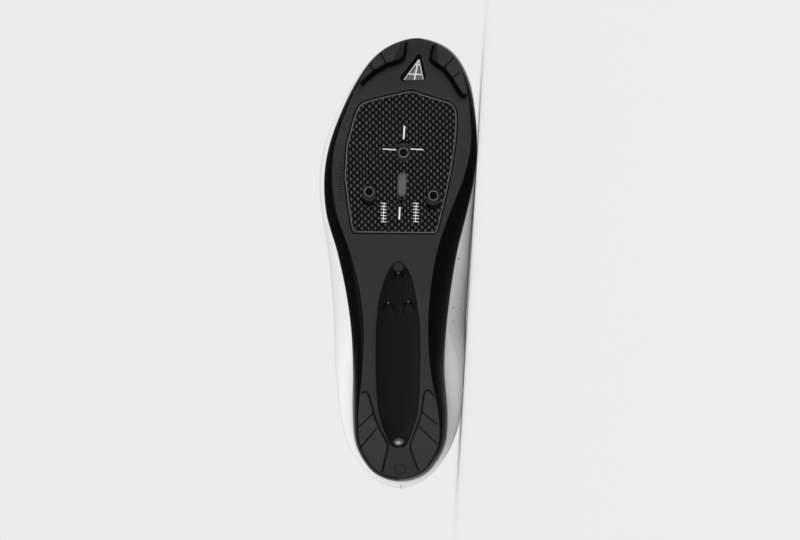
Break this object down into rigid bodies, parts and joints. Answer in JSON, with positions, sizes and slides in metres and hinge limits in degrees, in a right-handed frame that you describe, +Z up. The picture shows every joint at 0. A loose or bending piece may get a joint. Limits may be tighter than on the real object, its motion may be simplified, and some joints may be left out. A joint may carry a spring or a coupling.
{
  "type": "cycling shoe",
  "caption": "Right-foot lace-up road cycling shoe lying on its medial side, with a stiff rockered sole, cleat nuts in slots, vents and tread pads, and a smooth white upper.",
  "frame": {"origin": "the middle of the bounding box's bottom face, on the floor that the shoe lies on", "axes": "+X towards the toe, +Z up from the floor towards the shoe's lateral side, -Y the way the sole faces"},
  "size_m": [0.2982, 0.1008, 0.1028],
  "materials": {
    "upper": "smooth white synthetic leather, semi-matt",
    "sole": "black moulded plastic, satin below and glossy at the sides",
    "carbon": "woven carbon fibre under clear resin",
    "pad": "matt black rubber",
    "metal": "blackened steel",
    "mesh": "grey screen",
    "lining": "dark grey brushed fabric over foam",
    "lace": "flat white braid"
  },
  "bodies": {
    "root": {"upper": "upper", "eyestay": "upper", "tongue": "upper", "outsole": "sole", "carbon_plate": "carbon", "toe_pad_lateral": "pad", "toe_pad_medial": "pad", "heel_pad_lateral": "pad", "heel_pad_medial": "pad", "cleat_nut_front": "metal", "cleat_nut_lateral": "metal", "cleat_nut_medial": "metal", "locator_nut": "metal", "vent_screen": "mesh", "toe_vent_mesh": "mesh", "insole": "lining", "lace_bar_1": "lace", "lace_bar_2": "lace", "lace_bar_3": "lace", "lace_bar_4": "lace", "lace_bar_5": "lace", "lace_bar_6": "lace"}
  },
  "joints": []
}
